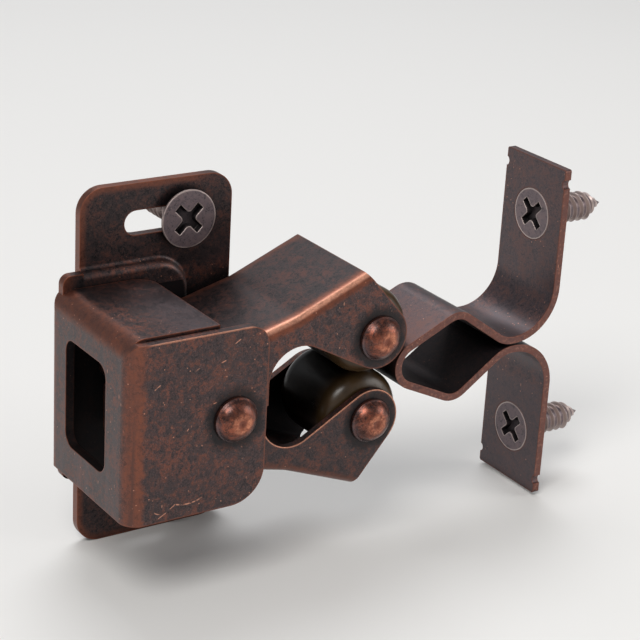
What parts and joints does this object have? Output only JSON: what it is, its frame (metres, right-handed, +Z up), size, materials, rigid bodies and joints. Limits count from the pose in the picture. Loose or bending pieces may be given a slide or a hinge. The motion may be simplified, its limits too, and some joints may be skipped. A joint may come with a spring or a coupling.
{
  "type": "double roller catch",
  "caption": "Sprung roller catch for a cabinet door, with a folded spear strike and its screws.",
  "frame": {"origin": "centre of the base's back face, straight behind the pivot rivet", "axes": "+X towards the strike and the way it leaves, +Y into the panel behind the base, +Z up"},
  "size_m": [0.0781, 0.0328, 0.048],
  "materials": {
    "plated_sheet": "dark antique copper plating on folded steel sheet",
    "plated_rivet": "dark antique copper plating, worn bright on the domes",
    "plated_screw": "dull greyish bronze plating",
    "spring_wire": "oiled spring wire",
    "brown_plastic": "glossy dark brown nylon"
  },
  "bodies": {
    "catch_housing": {"housing": "plated_sheet", "pivot_rivet": "plated_rivet", "torsion_spring": "spring_wire", "upper_catch_screw": "plated_screw", "lower_catch_screw": "plated_screw"},
    "upper_jaw_arm": {"upper_jaw": "plated_sheet", "upper_roller_rivet": "plated_rivet"},
    "lower_jaw_arm": {"lower_jaw": "plated_sheet", "lower_roller_rivet": "plated_rivet"},
    "upper_roller_body": {"upper_roller": "brown_plastic"},
    "lower_roller_body": {"lower_roller": "brown_plastic"},
    "door_strike": {"strike": "plated_sheet", "upper_strike_screw": "plated_screw", "lower_strike_screw": "plated_screw"}
  },
  "joints": [
    {"name": "upper_jaw_pivot", "type": "hinge", "parent": "catch_housing", "child": "upper_jaw_arm", "pos_m": [0, -0.01145, 0], "axis": [0, -1, 0], "range_deg": [0, 18], "stiffness_Nm_per_rad": 0.4, "springref_deg": -28.65, "deforming": ["torsion_spring"]},
    {"name": "lower_jaw_pivot", "type": "hinge", "parent": "catch_housing", "child": "lower_jaw_arm", "pos_m": [0, -0.01145, 0], "axis": [0, 1, 0], "range_deg": [0, 18], "stiffness_Nm_per_rad": 0.4, "springref_deg": -28.65},
    {"name": "upper_roller_spin", "type": "hinge", "parent": "upper_jaw_arm", "child": "upper_roller_body", "pos_m": [0.02157, -0.01145, 0.0062], "axis": [0, 1, 0], "continuous": true},
    {"name": "lower_roller_spin", "type": "hinge", "parent": "lower_jaw_arm", "child": "lower_roller_body", "pos_m": [0.02173, -0.01145, -0.0056], "axis": [0, 1, 0], "continuous": true},
    {"name": "door_travel", "type": "slide", "parent": "catch_housing", "child": "door_strike", "axis": [1, 0, 0], "range_m": [-0.0005, 0.03]}
  ]
}
